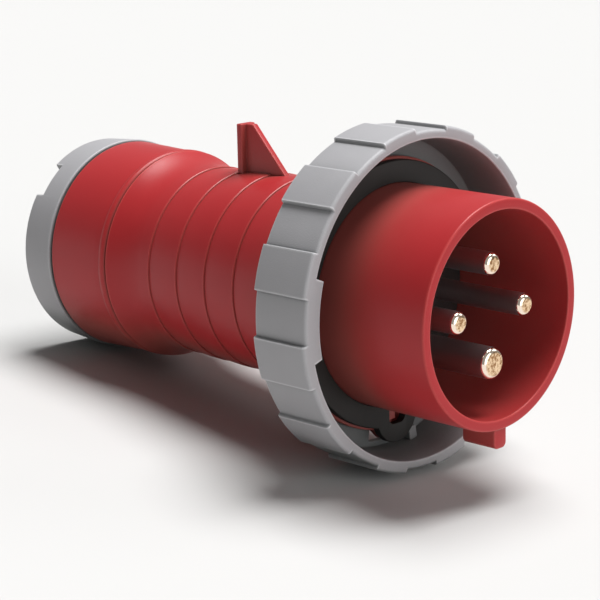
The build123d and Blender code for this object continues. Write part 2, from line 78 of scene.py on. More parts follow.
def rounded(corners, steps):
    # a closed outline of (x, r, softness), with each corner softened by an arc of that radius
    outline = []
    for i, (x, r, soft) in enumerate(corners):
        here = Vector((x, r))
        if soft <= 0:
            outline.append((x, r))
            continue
        inward = Vector(corners[i - 1][:2]) - here
        onward = Vector(corners[(i + 1) % len(corners)][:2]) - here
        room = meshing["arcShare"] * min(inward.length, onward.length)
        inward.normalize()
        onward.normalize()
        half = inward.angle(onward) / 2
        reach = min(soft / math.tan(half), room)
        first = here + inward * reach
        last = here + onward * reach
        # the way to the centre of the arc, which a nearly straight corner doesn't have
        bend = reach / math.cos(half) if half < math.pi / 2 - meshing["nearlyStraight"] else 0
        middle = here + (inward + onward) * (bend / max((inward + onward).length, 1e-6))
        start = math.atan2(first.y - middle.y, first.x - middle.x)
        turn = math.atan2(last.y - middle.y, last.x - middle.x) - start
        turn = (turn + math.pi) % (2 * math.pi) - math.pi
        for step in range(steps + 1):
            share = step / steps
            if bend:
                angle = start + turn * share
                radius = (first - middle).length
                outline.append((middle.x + radius * math.cos(angle), middle.y + radius * math.sin(angle)))
            else:
                outline.append(tuple(first.lerp(last, share)))
    return outline


def bulge(start, end, crown, steps):
    # points between start and end on a shallow arc, crown is its height to the left of the way
    first, last = Vector(start), Vector(end)
    along = last - first
    normal = Vector((-along.y, along.x)).normalized()
    return [
        tuple(first + along * (i / steps) + normal * (crown * 4 * (i / steps) * (1 - i / steps)))
        for i in range(1, steps)
    ]


def closeSkin(mesh):
    # joins the points that meet and turns every face outward
    bm = bmesh.new()
    bm.from_mesh(mesh)
    bmesh.ops.remove_doubles(bm, verts=bm.verts, dist=meshing["mergeGap"])
    bmesh.ops.recalc_face_normals(bm, faces=bm.faces)
    bm.to_mesh(mesh)
    bm.free()


def finishMesh(name, mesh, body, material, sharp=32):
    # puts a drawn mesh in the frame as a piece of its body
    closeSkin(mesh)
    mesh.transform(toFrame)
    piece = bpy.data.objects.new(name, mesh)
    bpy.context.scene.collection.objects.link(piece)
    smoothMesh(mesh, sharp)
    mesh.materials.append(material)
    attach(piece, body)
    return piece


def smoothMesh(mesh, sharp):
    # smooth shading, with a hard edge where the faces bend by more than sharp degrees
    mesh.polygons.foreach_set("use_smooth", [True] * len(mesh.polygons))
    mesh.set_sharp_from_angle(angle=math.radians(sharp))
    mesh.update()


def sweptMesh(name, angles, outlineAt):
    # a ring whose section, in the plane through the axis, may change with the angle in degrees
    points = []
    for angle in angles:
        c, s = math.cos(math.radians(angle)), math.sin(math.radians(angle))
        outline = outlineAt(angle)
        points += [(x, r * c, r * s) for x, r in outline]
    size = len(outline)
    faces = []
    for i in range(len(angles)):
        j = (i + 1) % len(angles)
        for k in range(size):
            n = (k + 1) % size
            faces.append((i * size + k, i * size + n, j * size + n, j * size + k))
    mesh = bpy.data.meshes.new(name)
    mesh.from_pydata(points, [], faces)
    return mesh


def meshFrom(bm, name):
    mesh = bpy.data.meshes.new(name)
    bm.to_mesh(mesh)
    bm.free()
    return mesh


def softenEdges(bm, radius, bend):
    # rounds every edge at which the faces bend by more than that many radians
    edges = [edge for edge in bm.edges if edge.calc_face_angle(0) > bend]
    bmesh.ops.bevel(
        bm, geom=edges, offset=radius, segments=3, profile=0.5, affect="EDGES", clamp_overlap=True
    )


def prismMesh(name, outline, low, high, soft=0.0):
    # a flat outline in (x, y), drawn from z = low to z = high, with its edges rounded
    bm = bmesh.new()
    base = [bm.verts.new((x, y, low)) for x, y in outline]
    face = bm.faces.new(base)
    lifted = bmesh.ops.extrude_face_region(bm, geom=[face])["geom"]
    top = [item for item in lifted if isinstance(item, bmesh.types.BMVert)]
    bmesh.ops.translate(bm, verts=top, vec=(0, 0, high - low))
    bmesh.ops.recalc_face_normals(bm, faces=bm.faces)
    if soft > 0:
        softenEdges(bm, soft, meshing["prismBend"])
    return meshFrom(bm, name)


def alongAxis(mesh):
    # stands a prism up along the axis: its outline becomes (y, z), its height x
    mesh.transform(Matrix(((0, 0, 1, 0), (1, 0, 0, 0), (0, 1, 0, 0), (0, 0, 0, 1))))
    return mesh


def combine(mesh, tool, operation):
    # joins or cuts two meshes and leaves one clean skin
    kept = bpy.data.objects.new("kept", mesh)
    other = bpy.data.objects.new("other", tool)
    for item in (kept, other):
        bpy.context.scene.collection.objects.link(item)
    modifier = kept.modifiers.new("combine", "BOOLEAN")
    modifier.object = other
    modifier.operation = operation
    modifier.solver = "EXACT"
    graph = bpy.context.evaluated_depsgraph_get()
    result = bpy.data.meshes.new_from_object(kept.evaluated_get(graph))
    result.name = mesh.name
    for item in (kept, other):
        bpy.data.objects.remove(item)
    return result


def angleFrom(angle, middle):
    # the shorter way round from middle to angle, in degrees
    return (angle - middle + 180) % 360 - 180


def evenAngles(step, edges=(), spread=0.0, fine=1):
    # steps all round, with a few close ones where the section changes, and none just beside those
    clear = 1.4 * spread
    angles = {round(edge % 360 + spread * (2 * i / fine - 1), 4) for edge in edges for i in range(fine + 1)}
    count = round(360 / step)
    for i in range(count):
        angle = 360 * i / count
        if all(abs(angleFrom(angle, edge)) > clear for edge in edges):
            angles.add(round(angle, 4))
    return sorted(angle % 360 for angle in angles)


def ease(value):
    value = min(max(value, 0.0), 1.0)
    return value * value * (3 - 2 * value)


def within(angle, middle, span, spread):
    # 1 inside a span of degrees, 0 outside it, with an eased edge
    return ease((span / 2 - abs(angleFrom(angle, middle))) / (2 * spread) + 0.5)


def tabAngles():
    # close sections where the rounded tab leaves the disc
    return evenAngles(meshing["sweepStep"], edges=(255, 285), spread=6, fine=40)


def keyholeRadius(angle, disc, size):
    # how far a disc with a rounded tab at the bottom reaches at an angle
    tabCentre, tabRadius, blend = size["tabCentre"], size["tabRadius"], size["tabBlend"]
    away = math.radians(angleFrom(angle, 270))
    inside = tabRadius ** 2 - (tabCentre * math.sin(away)) ** 2
    if abs(away) > math.pi / 2 or inside <= 0:
        return disc
    tab = tabCentre * math.cos(away) + math.sqrt(inside)
    mix = min(max(0.5 + (tab - disc) / (2 * blend), 0), 1)
    return disc * (1 - mix) + tab * mix + blend * mix * (1 - mix)


# Shader groups
def newGroup(name, inputs):
    # gives the group, the sockets that its values come from and the sockets of what it puts out
    group = bpy.data.node_groups.new(name, "ShaderNodeTree")
    for label, kind, value in inputs:
        socket = group.interface.new_socket(label, in_out="INPUT", socket_type=kind)
        socket.default_value = value
    for label, kind in (
        ("Colour", "NodeSocketColor"), ("Roughness", "NodeSocketFloat"), ("Normal", "NodeSocketVector"),
    ):
        group.interface.new_socket(label, in_out="OUTPUT", socket_type=kind)
    given = group.nodes.new("NodeGroupInput").outputs
    result = group.nodes.new("NodeGroupOutput").inputs
    return group, given, result


def feed(tree, socket, value):
    # links an output to the socket, or sets the socket's own value
    if hasattr(value, "is_output"):
        tree.links.new(value, socket)
    else:
        socket.default_value = value


def mathNode(tree, operation, first, second):
    node = tree.nodes.new("ShaderNodeMath")
    node.operation = operation
    feed(tree, node.inputs[0], first)
    feed(tree, node.inputs[1], second)
    return node.outputs[0]


def noiseNode(tree, coordinates, scale, detail, roughness):
    node = tree.nodes.new("ShaderNodeTexNoise")
    feed(tree, node.inputs["Vector"], coordinates)
    feed(tree, node.inputs["Scale"], scale)
    node.inputs["Detail"].default_value = detail
    node.inputs["Roughness"].default_value = roughness
    return node.outputs["Fac"]


def clampNode(tree, value):
    node = tree.nodes.new("ShaderNodeClamp")
    feed(tree, node.inputs["Value"], value)
    return node.outputs["Result"]


def rescale(tree, value, low, high):
    # a 0 to 1 value becomes low to high
    node = tree.nodes.new("ShaderNodeMapRange")
    feed(tree, node.inputs["Value"], value)
    feed(tree, node.inputs["To Min"], low)
    feed(tree, node.inputs["To Max"], high)
    return node.outputs["Result"]


def maskNode(tree, value, start, full):
    # 0 up to start, rising to 1 at full
    node = tree.nodes.new("ShaderNodeMapRange")
    feed(tree, node.inputs["Value"], value)
    node.inputs["From Min"].default_value = start
    node.inputs["From Max"].default_value = full
    return node.outputs["Result"]


def mixColours(tree, factor, first, second):
    node = tree.nodes.new("ShaderNodeMix")
    node.data_type = "RGBA"
    for index, value in ((0, factor), (6, first), (7, second)):  # the factor and the two colour sockets
        feed(tree, node.inputs[index], value)
    return node.outputs[2]


def bumpNode(tree, height, distance):
    node = tree.nodes.new("ShaderNodeBump")
    feed(tree, node.inputs["Height"], height)
    node.inputs["Strength"].default_value = 1.0
    feed(tree, node.inputs["Distance"], distance)
    return node.outputs["Normal"]


def alongForward(tree, vector):
    # how much of a vector lies along the plug's axis
    node = tree.nodes.new("ShaderNodeVectorMath")
    node.operation = "DOT_PRODUCT"
    feed(tree, node.inputs[0], vector)
    node.inputs[1].default_value = tuple(forwardAxis)
    return node.outputs["Value"]


def nearnessNode(tree, reach, inside):
    # 0 on open faces, rising to 1 in a crevice, or along an outer edge when it looks inside
    gain = 3.0 if inside else 2.0
    node = tree.nodes.new("ShaderNodeAmbientOcclusion")
    node.samples = 4
    node.inside = inside
    node.only_local = inside
    feed(tree, node.inputs["Distance"], reach)
    closed = mathNode(tree, "SUBTRACT", 1.0, node.outputs["AO"])
    return clampNode(tree, mathNode(tree, "MULTIPLY", closed, gain))


def mouldedSkinGroup():
    # the skin of a moulding: spark grain, slow waves, mottling, lighter edges of painted highlight with some edge
    # wear, and painted shade in deep pockets and crevices
    group, given, result = newGroup(
        "mouldedSkin",
        [
            ("Dark Colour", "NodeSocketColor", (0.4, 0.4, 0.4, 1)),
            ("Light Colour", "NodeSocketColor", (0.5, 0.5, 0.5, 1)),
            # the edge colour is painted highlight, with some edge wear
            ("Edge Wear And Highlight Colour", "NodeSocketColor", (0.6, 0.6, 0.6, 1)),
            # the crevice colour is painted shade
            ("Crevice Shade Colour", "NodeSocketColor", (0.1, 0.1, 0.1, 1)),
            ("Edge Wear And Highlight", "NodeSocketFloat", 0.0),
            ("Edge Wear And Highlight Reach", "NodeSocketFloat", 0.0003),
            ("Crevice Shade", "NodeSocketFloat", 0.0),
            ("Crevice Shade Reach", "NodeSocketFloat", 0.001),
            # the pocket colour is painted shade
            ("Pocket Shade Colour", "NodeSocketColor", (0.1, 0.1, 0.1, 1)),
            ("Pocket Shade", "NodeSocketFloat", 0.0),
            ("Pocket Shade Reach", "NodeSocketFloat", 0.009),
            ("Grain Scale", "NodeSocketFloat", 6000.0),
            ("Grain Height", "NodeSocketFloat", 0.00001),
            ("Smoothest", "NodeSocketFloat", 0.35),
            ("Roughest", "NodeSocketFloat", 0.5),
        ],
    )
    waveShare, cloudShare = 0.6, 0.4
    waveHeight = 2.0  # against the grain's own height
    pocketShadeFalloff = 1.5
    edgeWearAndHighlightGloss = 0.12  # how much smoother the edge band of wear and painted highlight is
    place = group.nodes.new("ShaderNodeTexCoord").outputs["Object"]
    waves = noiseNode(group, place, scale=60.0, detail=2.0, roughness=0.5)
    grain = noiseNode(group, place, scale=given["Grain Scale"], detail=3.0, roughness=0.6)
    clouds = noiseNode(group, place, scale=240.0, detail=4.0, roughness=0.55)
    wavePart = mathNode(group, "MULTIPLY", waves, waveShare)
    cloudPart = mathNode(group, "MULTIPLY", clouds, cloudShare)
    mottle = mathNode(group, "ADD", wavePart, cloudPart)
    # lighter along outer edges: painted highlight, with some edge wear
    edgeWearAndHighlight = nearnessNode(group, given["Edge Wear And Highlight Reach"], inside=True)
    edgeWearAndHighlight = mathNode(group, "MULTIPLY", edgeWearAndHighlight, given["Edge Wear And Highlight"])
    # darker in fine crevices where the faces close in: painted shade
    creviceShade = nearnessNode(group, given["Crevice Shade Reach"], inside=False)
    creviceShade = mathNode(group, "MULTIPLY", creviceShade, given["Crevice Shade"])
    # darker deep in hollows: painted shade
    pocketShade = nearnessNode(group, given["Pocket Shade Reach"], inside=False)
    pocketShade = mathNode(group, "POWER", pocketShade, pocketShadeFalloff)
    pocketShade = mathNode(group, "MULTIPLY", pocketShade, given["Pocket Shade"])
    colour = mixColours(group, mottle, given["Dark Colour"], given["Light Colour"])
    colour = mixColours(group, edgeWearAndHighlight, colour, given["Edge Wear And Highlight Colour"])
    colour = mixColours(group, pocketShade, colour, given["Pocket Shade Colour"])
    colour = mixColours(group, creviceShade, colour, given["Crevice Shade Colour"])
    height = mathNode(group, "ADD", grain, mathNode(group, "MULTIPLY", waves, waveHeight))
    rough = rescale(group, clouds, given["Smoothest"], given["Roughest"])
    rough = mathNode(group, "SUBTRACT", rough, mathNode(group, "MULTIPLY", edgeWearAndHighlight, edgeWearAndHighlightGloss))
    feed(group, result["Colour"], colour)
    feed(group, result["Roughness"], rough)
    feed(group, result["Normal"], bumpNode(group, height, given["Grain Height"]))
    return group


def turnedMetalGroup():
    # fine rings left by the lathe, soft smears where the metal has been handled, and painted shade darkening the
    # slots
    group, given, result = newGroup(
        "turnedMetal",
        [
            ("Dark Colour", "NodeSocketColor", (0.5, 0.4, 0.2, 1)),
            ("Light Colour", "NodeSocketColor", (0.8, 0.6, 0.4, 1)),
            # the slot colour is painted shade
            ("Slot Shade Colour", "NodeSocketColor", (0.05, 0.05, 0.05, 1)),
            ("Slot Shade Reach", "NodeSocketFloat", 0.0005),
            ("Ring Pitch", "NodeSocketFloat", 0.0002),
            ("Ring Height", "NodeSocketFloat", 0.000002),
            ("Smoothest", "NodeSocketFloat", 0.1),
            ("Roughest", "NodeSocketFloat", 0.25),
        ],
    )
    place = group.nodes.new("ShaderNodeTexCoord").outputs["Object"]
    turns = mathNode(group, "DIVIDE", alongForward(group, place), given["Ring Pitch"])
    stretched = group.nodes.new("ShaderNodeCombineXYZ")  # alike all round, so the noise runs in rings
    feed(group, stretched.inputs["X"], turns)
    rings = noiseNode(group, stretched.outputs["Vector"], scale=1.0, detail=2.0, roughness=0.6)
    smear = noiseNode(group, place, scale=700.0, detail=4.0, roughness=0.6)
    # darker in the slots: painted shade
    slot = nearnessNode(group, given["Slot Shade Reach"], inside=False)
    metal = mixColours(group, smear, given["Dark Colour"], given["Light Colour"])
    metal = mixColours(group, slot, metal, given["Slot Shade Colour"])
    feed(group, result["Colour"], metal)
    feed(group, result["Roughness"], rescale(group, smear, given["Smoothest"], given["Roughest"]))
    feed(group, result["Normal"], bumpNode(group, rings, given["Ring Height"]))
    return group


def platedPinGroup():
    # nickel on the shaft, bright brass round the nose and speckled brass on its flat end
    group, given, result = newGroup(
        "platedPin",
        [
            ("Shaft Colour", "NodeSocketColor", (0.3, 0.3, 0.3, 1)),
            ("Dark Brass", "NodeSocketColor", (0.6, 0.4, 0.2, 1)),
            ("Light Brass", "NodeSocketColor", (0.9, 0.7, 0.5, 1)),
            ("Bright Brass", "NodeSocketColor", (0.9, 0.8, 0.7, 1)),
            ("Tip Start", "NodeSocketFloat", -0.0035),
            ("Speckle Scale", "NodeSocketFloat", 2500.0),
            ("Speckle Height", "NodeSocketFloat", 0.00003),
            ("Shaft Roughness", "NodeSocketFloat", 0.35),
            ("Tip Roughness", "NodeSocketFloat", 0.1),
        ],
    )
    tipEdge = 4000.0  # per metre, how sharply the nickel ends
    smearRoughness = 0.1
    place = group.nodes.new("ShaderNodeTexCoord").outputs["Object"]
    mouth = toFrame.translation.dot(forwardAxis)
    fromMouth = mathNode(group, "SUBTRACT", alongForward(group, place), mouth)
    ahead = mathNode(group, "SUBTRACT", fromMouth, given["Tip Start"])
    smear = noiseNode(group, place, scale=500.0, detail=3.0, roughness=0.6)
    tip = clampNode(group, mathNode(group, "ADD", mathNode(group, "MULTIPLY", ahead, tipEdge), smear))
    speckle = noiseNode(group, place, scale=given["Speckle Scale"], detail=3.0, roughness=0.65)
    spots = maskNode(group, speckle, start=0.38, full=0.56)
    facing = alongForward(group, group.nodes.new("ShaderNodeNewGeometry").outputs["True Normal"])
    flatEnd = maskNode(group, facing, start=0.90, full=0.99)
    colour = mixColours(group, spots, given["Dark Brass"], given["Light Brass"])
    colour = mixColours(group, flatEnd, given["Bright Brass"], colour)
    colour = mixColours(group, tip, given["Shaft Colour"], colour)
    smeared = mathNode(group, "MULTIPLY", smear, smearRoughness)
    shaft = mathNode(group, "ADD", given["Shaft Roughness"], smeared)
    height = mathNode(group, "MULTIPLY", speckle, flatEnd)
    feed(group, result["Colour"], colour)
    feed(group, result["Roughness"], rescale(group, tip, shaft, given["Tip Roughness"]))
    feed(group, result["Normal"], bumpNode(group, height, given["Speckle Height"]))
    return group


# Finishes
def makeMaterial(name, group, values, metallic=0.0, specular=0.5):
    material = bpy.data.materials.new(name)
    material.use_nodes = True
    tree = material.node_tree
    shader = tree.nodes["Principled BSDF"]
    skin = tree.nodes.new("ShaderNodeGroup")
    skin.node_tree = group
    for label, value in values.items():
        skin.inputs[label].default_value = value
    feed(tree, shader.inputs["Base Color"], skin.outputs["Colour"])
    feed(tree, shader.inputs["Roughness"], skin.outputs["Roughness"])
    feed(tree, shader.inputs["Normal"], skin.outputs["Normal"])
    shader.inputs["Metallic"].default_value = metallic
    shader.inputs["Specular IOR Level"].default_value = specular
    return material


def opaque(red, green, blue):
    return (red, green, blue, 1.0)


mouldedSkin = mouldedSkinGroup()
turnedMetal = turnedMetalGroup()
platedPin = platedPinGroup()
materials = {
    "redPlastic": makeMaterial("redPlastic", mouldedSkin, {
        "Dark Colour": opaque(0.42, 0.020, 0.024),
        "Light Colour": opaque(0.47, 0.026, 0.030),
        # edge colour: painted highlight, with some edge wear
        "Edge Wear And Highlight Colour": opaque(0.74, 0.15, 0.13),
        # crevice colour: painted shade
        "Crevice Shade Colour": opaque(0.10, 0.010, 0.010),
        "Edge Wear And Highlight": 0.55,
        "Edge Wear And Highlight Reach": 0.0005,
        "Crevice Shade": 0.35,
        "Crevice Shade Reach": 0.0006,
        # pocket colour: painted shade, browner in the deep hollows
        "Pocket Shade Colour": opaque(0.34, 0.085, 0.070),
        "Pocket Shade": 0.9,
        "Pocket Shade Reach": 0.020,
        "Grain Scale": 5000.0,
        "Grain Height": 0.000012,
        "Smoothest": 0.33,
        "Roughest": 0.41,
    }, specular=0.30),
    "greyPlastic": makeMaterial("greyPlastic", mouldedSkin, {
        "Dark Colour": opaque(0.365, 0.36, 0.375),
        "Light Colour": opaque(0.41, 0.405, 0.42),
        # edge colour: painted highlight, with some edge wear
        "Edge Wear And Highlight Colour": opaque(0.75, 0.75, 0.77),
        # crevice colour: painted shade
        "Crevice Shade Colour": opaque(0.05, 0.05, 0.05),
        "Edge Wear And Highlight": 0.8,
        "Edge Wear And Highlight Reach": 0.0005,
        "Crevice Shade": 0.4,
        "Crevice Shade Reach": 0.0006,
        # pocket colour: painted shade in the deep hollows
        "Pocket Shade Colour": opaque(0.11, 0.125, 0.12),
        "Pocket Shade": 0.8,
        "Pocket Shade Reach": 0.012,
        "Grain Scale": 3600.0,
        "Grain Height": 0.00005,
        "Smoothest": 0.50,
        "Roughest": 0.60,
    }),
    "blackRubber": makeMaterial("blackRubber", mouldedSkin, {
        "Dark Colour": opaque(0.010, 0.009, 0.008),
        "Light Colour": opaque(0.020, 0.018, 0.016),
        "Grain Scale": 3000.0,
        "Grain Height": 0.00001,
        "Smoothest": 0.55,
        "Roughest": 0.70,
    }),
    "darkPlastic": makeMaterial("darkPlastic", mouldedSkin, {
        "Dark Colour": opaque(0.018, 0.016, 0.015),
        "Light Colour": opaque(0.028, 0.025, 0.023),
        "Grain Scale": 4500.0,
        "Grain Height": 0.00001,
        "Smoothest": 0.45,
        "Roughest": 0.55,
    }),
    "whiteNylon": makeMaterial("whiteNylon", mouldedSkin, {
        "Dark Colour": opaque(0.66, 0.65, 0.60),
        "Light Colour": opaque(0.74, 0.73, 0.68),
        "Grain Scale": 4000.0,
        "Grain Height": 0.00001,
        "Smoothest": 0.40,
        "Roughest": 0.50,
    }),
    "platedBrass": makeMaterial("platedBrass", platedPin, {
        "Shaft Colour": opaque(0.56, 0.51, 0.52),
        "Dark Brass": opaque(0.34, 0.17, 0.07),
        "Light Brass": opaque(0.93, 0.68, 0.44),
        "Bright Brass": opaque(0.95, 0.81, 0.68),
        "Tip Start": -0.0029,
        "Speckle Scale": 1400.0,
        "Speckle Height": 0.00006,
        "Shaft Roughness": 0.32,
        "Tip Roughness": 0.06,
    }, metallic=1.0),
    "zincSteel": makeMaterial("zincSteel", turnedMetal, {
        "Dark Colour": opaque(0.34, 0.34, 0.35),
        "Light Colour": opaque(0.46, 0.46, 0.47),
        # slot colour: painted shade
        "Slot Shade Colour": opaque(0.03, 0.03, 0.03),
        "Slot Shade Reach": 0.0006,
        "Ring Pitch": 0.0003,
        "Ring Height": 0.000003,
        "Smoothest": 0.25,
        "Roughest": 0.40,
    }, metallic=1.0),
}
print("materials made")


# Front housing: shroud, key, flange with its tab, and the parts that the handle grips
frontHousing = {
    "outer": 25.0, "bore": 22.65, "rimRound": 0.42, "innerRound": 0.3, "rootRound": 0.2,
    "flangeFront": -32.0, "flangeBack": -34.0, "flangeRadius": 30.6, "flangeRound": 0.25,
    "tabCentre": 27.5, "tabRadius": 6.0, "tabBlend": 0.7,
    "journal": 26.7, "journalRound": 0.2, "barrel": 24.9, "barrelFront": -36.4, "barrelBack": -42.8,
    "grooveFloor": 23.3, "grooveFront": -38.75, "grooveBack": -40.45,
    "sleeve": 20.2, "sleeveBore": 17.2, "sleeveBack": -51.8, "ledge": -37.0, "backRound": 0.3,
    "keyWidth": 4.0, "keyReach": 29.3, "keyBack": -9.4, "keyFront": -0.45, "keyRound": 1.3, "keySoft": 0.3,
    "ribLeft": -2.2, "ribReach": 28.4, "ribFront": -30.8, "ribSink": 1.0, "ribSoft": 0.2,
    "slotRight": 2.6, "slotReach": 29.4, "slotSoft": 0.8,
    "slotLift": 0.03, "slotAhead": 0.6, "slotBehind": 0.02,
    "screwCircle": 19.925, "screwAngle": 45.0, "screwRadius": 1.45, "screwDepth": 4.3, "screwAhead": 0.5,
}


def makeFrontHousing():
    size = frontHousing

    def section(angle):
        flange = keyholeRadius(angle, size["flangeRadius"], size)
        return rounded([
            (0, size["outer"], size["rimRound"]),
            (size["flangeFront"], size["outer"], size["rootRound"]),
            (size["flangeFront"], flange, size["flangeRound"]),
            (size["flangeBack"], flange, size["flangeRound"]),
            (size["flangeBack"], size["journal"], 0),
            (size["barrelFront"], size["journal"], size["journalRound"]),
            (size["barrelFront"], size["barrel"], 0),
            (size["grooveFront"], size["barrel"], 0),
            (size["grooveFront"], size["grooveFloor"], 0),
            (size["grooveBack"], size["grooveFloor"], 0),
            (size["grooveBack"], size["barrel"], 0),
            (size["barrelBack"], size["barrel"], size["backRound"]),
            (size["barrelBack"], size["sleeve"], 0),
            (size["sleeveBack"], size["sleeve"], size["backRound"]),
            (size["sleeveBack"], size["sleeveBore"], size["backRound"]),
            (size["ledge"], size["sleeveBore"], 0),
            (size["ledge"], size["bore"], 0),
            (0, size["bore"], size["innerRound"]),
        ], steps=6)

    mesh = sweptMesh("frontHousing", tabAngles(), section)
    root = (size["outer"] + size["bore"]) / 2
    half = size["keyWidth"] / 2
    keyOutline = rounded([
        (-half, -root, 0), (-half, -size["keyReach"], size["keyRound"]),
        (half, -size["keyReach"], size["keyRound"]), (half, -root, 0),
    ], steps=8)
    key = prismMesh("key", keyOutline, size["keyBack"], size["keyFront"], size["keySoft"])
    mesh = combine(mesh, alongAxis(key), "UNION")
    # the slot is cut just past the back of the flange, and the rib then stands beside it
    slotFront, slotBack = size["flangeFront"] + size["slotAhead"], size["flangeBack"] - size["slotBehind"]
    slot = prismMesh("slot", slotOutline(size), slotBack, slotFront)
    mesh = combine(mesh, alongAxis(slot), "DIFFERENCE")
    ribBack = size["flangeFront"] - size["ribSink"]
    ribOutline = [
        (ribBack, size["ribLeft"]), (size["ribFront"], size["ribLeft"]), (size["ribFront"], 0), (ribBack, 0),
    ]
    rib = prismMesh("rib", ribOutline, -size["ribReach"], -root, size["ribSoft"])
    mesh = combine(mesh, rib, "UNION")
    for turn in (0, 180):
        angle = math.radians(size["screwAngle"] + turn)
        y, z = size["screwCircle"] * math.cos(angle), size["screwCircle"] * math.sin(angle)
        front, back = size["ledge"] + size["screwAhead"], size["ledge"] - size["screwDepth"]
        hole = drillMesh("hole", front, back, size["screwRadius"], y, z)
        mesh = combine(mesh, hole, "DIFFERENCE")
    piece = finishMesh("redFrontHousing", mesh, "housing", materials["redPlastic"])
    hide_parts("front_housing")


def slotOutline(size):
    # the hollow beside the rib, seen from the mouth: y to the right, z up
    top = size["outer"] + size["slotLift"]
    right, low, soft = size["slotRight"], -size["slotReach"], size["slotSoft"]
    topPlaces = [right * i / 6 for i in range(7)]
    cornerTurns = [math.radians(turn) for turn in range(0, -91, -15)]
    outline = [(y, -math.sqrt(top ** 2 - y ** 2)) for y in topPlaces]
    outline += [
        (right + soft * (math.cos(turn) - 1), low + soft * (1 + math.sin(turn))) for turn in cornerTurns
    ]
    outline.append((0.0, low))
    return outline


def drillMesh(name, front, back, radius, y, z):
    # a round rod along the axis, to cut a hole with
    place = Matrix.Translation(((front + back) / 2, y, z)) @ Matrix.Rotation(math.pi / 2, 4, "Y")
    bm = bmesh.new()
    bmesh.ops.create_cone(
        bm, cap_ends=True, segments=32, radius1=radius, radius2=radius, depth=front - back, matrix=place
    )
    return meshFrom(bm, name)


makeFrontHousing()
print("front housing made")


# Face gasket: flat rubber with a rounded tab and a slot round the root rib
faceGasket = {
    "front": -30.2, "back": -32.0, "radius": 30.0, "tabCentre": 27.5, "tabRadius": 6.3, "tabBlend": 0.7,
    "bore": 25.1, "slotHalf": 2.6, "slotReach": 29.4, "slotSoft": 1.6, "slotSteps": 24,
    "rimSoft": 0.3, "edgeSoft": 0.12, "innerBackSoft": 0.05,
}


def makeFaceGasket():
    size = faceGasket
    slotOuter = math.degrees(math.asin(size["slotHalf"] / size["bore"]))
    bendPlace = Vector((size["slotHalf"] - size["slotSoft"], size["slotReach"] - size["slotSoft"]))

    def inner(angle):
        # the round bore, then the floor, the side and the corner arc of the slot
        away = abs(angleFrom(angle, 270))
        if away >= slotOuter:
            return size["bore"]
        ray = Vector((math.sin(math.radians(away)), math.cos(math.radians(away))))
        if size["slotReach"] * ray.x / ray.y <= bendPlace.x:
            return size["slotReach"] / ray.y
        if size["slotHalf"] * ray.y / ray.x <= bendPlace.y:
            return size["slotHalf"] / ray.x
        middle = ray.dot(bendPlace)
        return middle + math.sqrt(middle ** 2 - bendPlace.length_squared + size["slotSoft"] ** 2)

    def section(angle):
        outer = keyholeRadius(angle, size["radius"], size)
        return rounded([
            (size["front"], inner(angle), size["edgeSoft"]),
            (size["front"], outer, size["rimSoft"]),
            (size["back"], outer, size["edgeSoft"]),
            (size["back"], inner(angle), size["innerBackSoft"]),
        ], steps=4)

    steps = size["slotSteps"]
    slotAngles = {270 + side * slotOuter * i / steps for side in (-1, 1) for i in range(steps + 1)}
    mesh = sweptMesh("faceGasket", sorted(slotAngles | set(tabAngles())), section)
    piece = finishMesh("rubberFaceGasket", mesh, "housing", materials["blackRubber"])
    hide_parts("face_gasket")


makeFaceGasket()
print("face gasket made")


# Locking ring: castellated outside, two bayonet ramps inside the mouth, web with a window and two stops
lockingRing = {
    "turn": -3.1, "front": -21.1, "back": -36.1, "webFront": -34.3, "webBore": 27.0,
    "padRadius": 38.3, "padStep": 0.85, "padCount": 12, "padEdge": 0.2,
    "mouth": 35.5, "bore": 35.0, "frontSoft": 0.75, "backSoft": 0.4, "mouthSoft": 0.3, "webSoft": 0.2,
    "rampRadius": 33.2, "rampSpan": 29.0, "rampThin": 2.2, "rampThick": 4.6, "rampEdge": 0.25,
    "rampSoft": 0.15, "rampLean": 0.02,
    "stopInner": 32.2, "stopWidth": 2.4, "stopHeight": 3.3, "stopAngles": (283.52, 217.68),
    "stopSink": 0.5, "stopRoot": 0.8, "stopSoft": 0.25,
    "windowInner": 31.2, "windowOuter": 33.9, "windowSpan": 11.5, "windowAngle": 270.0, "windowPast": 1.0,
}


